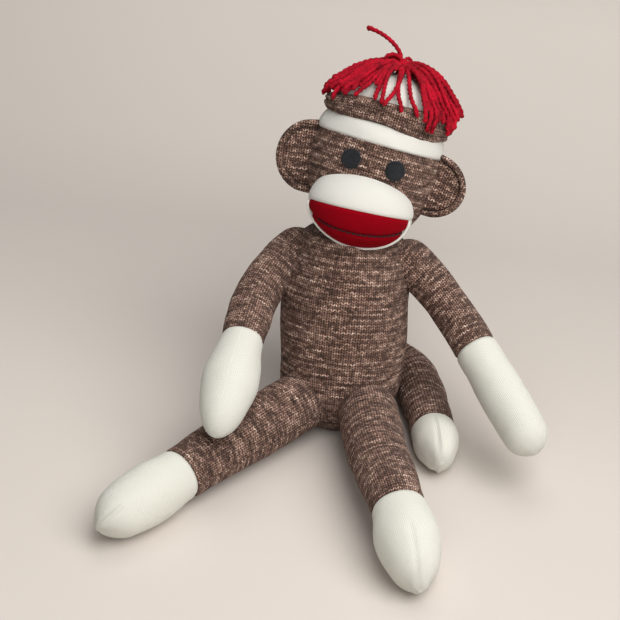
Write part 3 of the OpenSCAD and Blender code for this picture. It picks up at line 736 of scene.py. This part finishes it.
def muzzle():
    turns = np.linspace(-MUZZLE_REACH, MUZZLE_REACH, 110)
    rows = [[muzzle_point(t, math.pi / 2 + (lip_up(t) - math.pi / 2) * f, -0.8 * math.exp(-((1 - f) / 0.03)**2))
             for t in turns] for f in np.linspace(0, 1, 50)]
    rows.append([muzzle_point(t, lip_up(t), TUCK) for t in turns])
    piece = skin("muzzle", np.array(rows), 126, CREAM_FINE, "head", closed=False, flip=True)
    piece_of(piece, ["muzzle_cover", "muzzle_stuffing"])

    rows, ahead = [[muzzle_point(t, lip_up(t), TUCK) for t in turns]], [np.cos(turns) > LIPS_FRONT]
    for f in np.linspace(0, 1, 80):
        row = []
        ahead.append([math.cos(t) * math.cos(lip_up(t) * (1 - f) - math.pi / 2 * f) > LIPS_FRONT for t in turns])
        for t in turns:
            u = lip_up(t) + (-math.pi / 2 - lip_up(t)) * f
            line = math.exp(-((u - mouth_up(t)) / 0.07)**2) * min(1, max(0, (1.42 - abs(t)) * 8))
            row.append(muzzle_point(t, u, -0.8 * math.exp(-(f / 0.03)**2) - 1.5 * line))
        rows.append(row)
    ahead = np.array(ahead)
    piece = skin("lips", np.array(rows), 126, RED_KNIT, "head", closed=False, flip=True, keep=ahead)
    piece_of(piece, ["lips"])
    piece = skin("muzzle_edge", np.array(rows), 126, CREAM_FINE, "head", closed=False, flip=True, keep=~ahead)
    piece_of(piece, None)

    steep = math.sqrt(1 - LIPS_FRONT**2)
    low = [muzzle_point(math.atan2(math.cos(q), LIPS_FRONT), math.asin(math.sin(q) * steep), 0.35)
           for q in np.linspace(math.pi + 0.02, 2 * math.pi - 0.02, 44)]
    parts = [cable(low, 1.05, 10, step=1.2)]
    piece_of(joined("muzzle_piping", parts, CREAM_FINE, "head"), ["muzzle_piping"])

    parts = []
    stitches = 19
    for k in range(stitches):
        t = -0.92 + 2.1 * (k + 0.5) / stitches
        ends = [muzzle_point(t + d, mouth_up(t + d), -0.8 + lift) for d, lift in
                ((-0.045, -0.6), (-0.02, 0.2), (0.02, 0.2), (0.045, -0.6))]
        parts.append(cable(ends, 0.5, 8, lobes=2, twist=2.5, step=0.4))
    piece_of(joined("mouth_stitches", parts, THREAD, "head"), ["mouth_stitches"])


EYE_Z, EYE_GAP, EYE_R, EYE_TURN = 12.2, 32.6, 7.3, 0.045
FACE_R, EYE_STITCHES = 48, 17


def eye(side):
    """A felt disc on the face. Returns its stitches."""
    k = SIDES[side]
    middle = k * math.asin(EYE_GAP / 2 / FACE_R) + EYE_TURN

    def on_face(x, z, lift):
        out, turn = float(head_radius(z)) + lift, middle + x / FACE_R
        return in_head(out * math.sin(turn), -out * math.cos(turn), z)

    rows = []
    n = 96
    for r, lift in ((0.001, 2.2), (2, 2.2), (4, 2.15), (5.4, 2.05), (6.3, 1.9), (6.9, 1.6), (7.3, 1.0), (7.35, 0.4),
                    (6.8, -0.6)):
        row = []
        for j in range(n):
            a = 2 * math.pi * j / n
            edge = r + (0.16 * math.sin(EYE_STITCHES * a) + 0.1 * math.sin(3 * a + k)) * (r / EYE_R)**4
            pinch = 0.12 * math.sin(EYE_STITCHES * a) * (5 < r < 7.1)
            row.append(on_face(edge * math.cos(a), EYE_Z + edge * math.sin(a), lift + pinch))
        rows.append(row)
    piece = skin(side + "_eye", np.array(rows), 46, FELT, "head", caps=(True, False))
    piece_of(piece, [side + "_eye"])
    parts = []
    for j in range(EYE_STITCHES):
        a = 2 * math.pi * (j + 0.5) / EYE_STITCHES
        points = [on_face(r * math.cos(a + 0.02 * r), EYE_Z + r * math.sin(a + 0.02 * r), lift)
                  for r, lift in ((5.5, 1.6), (6.0, 2.35), (7.0, 2.0), (7.7, 0.9), (8.0, 0.1))]
        parts.append(cable(points, 0.27, 6, step=0.4))
    return parts


EAR_R, EAR_Z, EAR_OUT, EAR_TURN, EAR_LEAN = 25.0, 4.0, 46.5, math.radians(-10), math.radians(8)
TOPSTITCH_R = 0.80        # where the topstitching runs, from the base (0) to the rim (1)


def lumps_flat(P, amount, size, seed):
    """Moves an ear's points along the head's depth a little."""
    push = np.array([[noise.noise(Vector(q / size) + Vector((seed, 0, 0))) for q in row] for row in P])
    return P + (push * amount)[..., None] * HY


def face_uv(piece, origin, across, along):
    """Flat knit coordinates for a panel."""
    mesh = piece.data
    co = np.array([v.co for v in mesh.vertices]) * MM - origin
    layer = mesh.uv_layers["knit"].data
    for loop in mesh.loops:
        q = co[loop.vertex_index]
        layer[loop.index].uv = (float(q @ along), float(q @ across))


def ear(side):
    k = SIDES[side]
    turn = k * EAR_TURN
    ex = HX * math.cos(turn) + HY * math.sin(turn)
    ey = -HX * math.sin(turn) + HY * math.cos(turn)
    out = unit(ex * k * math.cos(EAR_LEAN) - HZ * math.sin(EAR_LEAN))
    up = unit(HZ * math.cos(EAR_LEAN) + ex * k * math.sin(EAR_LEAN))
    scale, lift = (0.86, 4.5) if k > 0 else (1.0, 0.0)
    base = HEAD + ex * k * EAR_OUT + (EAR_Z + lift) * HZ

    def point(r, a, face):
        """r from 0 to 1 and a from -90 to 90 degrees about the base."""
        x, z = (EAR_R + 1) * r * math.cos(a), (EAR_R + 2.2) * r * math.sin(a) * scale
        x = x - 3.0 * (1 - min(1, max(0, x) / 9))
        rim = math.sqrt(max(0.0, 1 - ((max(r, 0.84) - 0.84) / 0.16)**2))
        thick = 4.3 * rim * (0.62 + 0.38 * math.exp(-((r - 0.9) / 0.08)**2)) + 1.0 * math.cos(r * math.pi / 2)
        dip = 3.4 * math.exp(-((r - TOPSTITCH_R) / 0.05)**2)
        fold = 1.6 * math.exp(-((x - 6.5) / 1.5)**2) * (face < 0)
        y = face * (thick - dip - fold) - 2.2 * (r * r)
        return base + x * out + z * up + y * ey

    rs = np.r_[np.linspace(0.02, 0.84, 26), np.linspace(0.86, 1.0, 12)]
    angles = np.linspace(-math.pi / 2, math.pi / 2, 64)
    rows = [[point(r, a, -1) for a in angles] for r in rs] + [[point(r, a, 1) for a in angles] for r in rs[::-1]]
    P = np.array(rows)
    piece = skin(side + "_ear", lumps_flat(P, 0.5, 8, 8 + k), 80, BROWN, side + "_ear", closed=False, flip=k < 0)
    face_uv(piece, base, up, out)
    piece_of(piece, [side + n for n in ("_ear_front", "_ear_back", "_ear_padding")])
    parts = []
    for face in (-1, 1):
        for a in np.arange(-82, 83, 4.2):
            ends = [point(TOPSTITCH_R, math.radians(a + d), face) + ey * face * high for d, high in
                    ((-1.6, -0.3), (-0.6, 0.45), (0.6, 0.45), (1.6, -0.3))]
            parts.append(cable(ends, 0.45, 6, step=0.5))
    piece = joined(side + "_ear_topstitch", parts, BROWN_THREAD, side + "_ear")
    piece_of(piece, [side + "_ear_topstitch"])


# ---- pom-pom

YARN_R = 1.5


def pompom():
    # A strand's radius and height in the head: lying on the cap, and lifted off it.
    close = [(1.0, 83.6), (9, 84.4), (19, 81.6), (29, 75.6), (36.5, 68.4), (42, 62.8), (47.6, 58.6), (50.2, 54),
             (50.6, 48), (50.0, 41)]
    lifted = [(1.0, 86.4), (11, 90.5), (23, 89), (34, 83), (42, 76), (48, 70), (52, 64.5), (54, 60), (55, 56),
              (55.5, 52)]

    def bunch(first, last, count, low, high, short, full):
        """Strands between two headings, each with its heading, its lift and how far it reaches."""
        return [(first + (last - first) * (k + random.uniform(-0.3, 0.3)) / (count - 1), random.uniform(low, high),
                 random.uniform(short, full)) for k in range(count)]
    strands = (bunch(-118, -30, 26, 0.0, 0.45, 0.70, 0.93) + bunch(-104, -12, 22, 0.0, 0.25, 0.62, 0.86)
               + bunch(-55, 55, 17, 0.0, 0.3, 0.24, 0.36)
               + [(-12, 0.05, 0.80), (3, 0.0, 0.86), (6, 0.1, 0.84), (19, 0.0, 0.84)]
               + bunch(34, 66, 15, 0.0, 0.4, 0.84, 1.0) + bunch(50, 124, 19, 0.35, 1.0, 0.74, 0.98)
               + bunch(30, 110, 14, 0.0, 0.4, 0.6, 0.84) + bunch(130, 236, 22, 0.1, 0.7, 0.7, 1.0))
    parts = []
    for a, lift, reach in strands:
        line = spline(np.array(close) * (1 - lift) + np.array(lifted) * lift, 3.0)
        line = line[:max(5, int(len(line) * reach))]
        drift, wave = random.uniform(-7, 7), random.uniform(0, 6.28)
        points = []
        for i, (r, z) in enumerate(line):
            t = i / (len(line) - 1)
            turn = math.radians(a + drift * t + 5 * math.sin(wave + 4 * t) * t)
            points.append(in_head(r * math.sin(turn), -r * math.cos(turn), z + random.uniform(-0.3, 0.3)))
        parts.append(cable(points, YARN_R, 10, lobes=2, twist=1.5, step=1.0, flare=0.12))

    # Loops that stand up round the tie: how far out, how far aside and how high.
    hoop = ((0.0, 0, 0), (0.35, 1.2, 0.8), (0.8, 1.6, 1.0), (1.15, 0.6, 0.5), (1.1, -1.6, -0.1), (0.6, -2, -0.1),
            (0.1, -1, -0.2))
    for a, size, high in ((-60, 13, 6), (-100, 10, 5), (70, 11, 4), (150, 11, 6)):
        sin, cos = math.sin(math.radians(a)), math.cos(math.radians(a))
        points = [in_head(sin * size * f + g * cos, -cos * size * f + g * sin, 86 + high * h) for f, g, h in hoop]
        parts.append(cable(points, 1.4, 9, lobes=3, twist=1.7, step=1.0))
    piece_of(joined("pompom_strands", parts, YARN, "head"), ["pompom_strands"])

    loose = [(0, 0, 83), (-1.5, 0, 89), (-5.5, 0.5, 95.5), (-11.5, 1, 100), (-18, 1, 103), (-26, 0, 105),
             (-33, -1, 105.6)]
    parts = [cable([in_head(*p) for p in loose], YARN_R, 10, lobes=3, twist=1.7, step=1.0, flare=0.3)]
    for r, z in ((1.4, 85.6), (3.6, 84.6), (3.4, 86.4), (3.0, 88.2)):
        ring = [in_head(r * math.cos(a), r * math.sin(a), z + 0.8 * math.sin(a)) for a in np.linspace(0, 6.6, 16)]
        parts.append(cable(ring, 1.35, 9, lobes=3, twist=1.7, step=0.8))
    piece_of(joined("pompom_tie", parts, YARN, "head"), ["pompom_tie"])


torso()
neck()
for name in SIDES:
    arm(name)
    leg(name)
tail()
head()
hat()
muzzle()
eye_threads = eye("left") + eye("right")
piece_of(joined("eye_stitches", eye_threads, THREAD, "head"), ["eye_stitches"])
for name in SIDES:
    ear(name)
pompom()


# ---- stage, light and camera

FLOOR_REACH = 20          # metres


def stage():
    """A paper floor with painted light falloff: painted shade far to the sides and in a band behind the toy, and
    painted light farther back.
    """
    s = Shader("studio_paper")
    place = s.node("TexCoord", output=OBJECT_SPACE)
    tone = s.noise(place, 3.0, 2.0)
    x, y = s.split(place)
    # Painted light falloff along the depth: painted shade in a band behind the toy, painted light farther back.
    depth = s.math("MULTIPLY_ADD", y, 0.5, 0.25)
    painted_falloff = s.ramp(depth, [(0.12, (0.90,) * 3), (0.22, (0.885,) * 3), (0.31, (0.80,) * 3),
                           (0.38, (0.75,) * 3), (0.46, (0.86,) * 3), (0.61, (1.0,) * 3)])
    # Painted shade far to the sides.
    far = s.math("POWER", s.math("SUBTRACT", x, -0.1), 2.0)
    aside = s.math("MAXIMUM", s.math("SUBTRACT", 1.0, s.math("MULTIPLY", far, 0.30)), 0.85)
    paper = s.ramp(tone, [(0.3, (0.755, 0.695, 0.638)), (0.7, (0.765, 0.705, 0.648))])
    paper = s.mix(1.0, paper, painted_falloff, "MULTIPLY")
    paper = s.mix(1.0, paper, s.grey(aside), "MULTIPLY")
    s.finish(paper, 0.9, s.bump(s.noise(place, 900.0, 2.0), 0.0002, 0.3), Specular_IOR_Level=0.15)
    mesh = bpy.data.meshes.new("studio_floor")
    corners = [(i * FLOOR_REACH, j * FLOOR_REACH, 0) for i, j in ((-1, -1), (1, -1), (1, 1), (-1, 1))]
    mesh.from_pydata(corners, [], [(0, 1, 2, 3)])
    mesh.materials.append(s.material)
    floor = bpy.data.objects.new("studio_floor", mesh)
    bpy.context.scene.collection.objects.link(floor)


def area_light(name, at, target, size, power, colour):
    data = bpy.data.lights.new(name, "AREA")
    data.shape, data.size, data.energy, data.color = "DISK", size, power, colour
    lamp = bpy.data.objects.new(name, data)
    lamp.location = at
    lamp.rotation_euler = (Vector(target) - Vector(at)).to_track_quat("-Z", "Y").to_euler()
    bpy.context.scene.collection.objects.link(lamp)


stage()
area_light("key", (1.1, -0.8, 1.9), (0, 0, 0.08), 2.3, 54, (1.0, 0.98, 0.96))
area_light("fill", (0.3, -1.9, 1.3), (0, 0, 0.08), 1.2, 8, (1.0, 0.98, 0.97))
area_light("top", (0.1, 0.7, 2.0), (0, 0, 0.1), 1.6, 12, (1.0, 0.975, 0.95))
world = bpy.data.worlds.new("studio")
world.use_nodes = True
world.node_tree.nodes["Background"].inputs[0].default_value = (0.96, 0.95, 0.95, 1)
world.node_tree.nodes["Background"].inputs[1].default_value = 0.16
bpy.context.scene.world = world
bpy.context.scene.view_settings.view_transform = "Standard"

AIM, DISTANCE = Vector((-0.0268, 0.0045, 0.085)), 1.6
TURN, RISE = math.radians(12), math.radians(32)
lens = bpy.data.cameras.new("camera")
lens.lens, lens.sensor_width, lens.clip_start, lens.clip_end = 124.7, 36, 0.05, 50
camera = bpy.data.objects.new("camera", lens)
back = Vector((math.sin(TURN) * math.cos(RISE), -math.cos(TURN) * math.cos(RISE), math.sin(RISE)))
camera.location = AIM + DISTANCE * back
camera.rotation_euler = (-back).to_track_quat("-Z", "Y").to_euler()
bpy.context.scene.collection.objects.link(camera)
bpy.context.scene.camera = camera
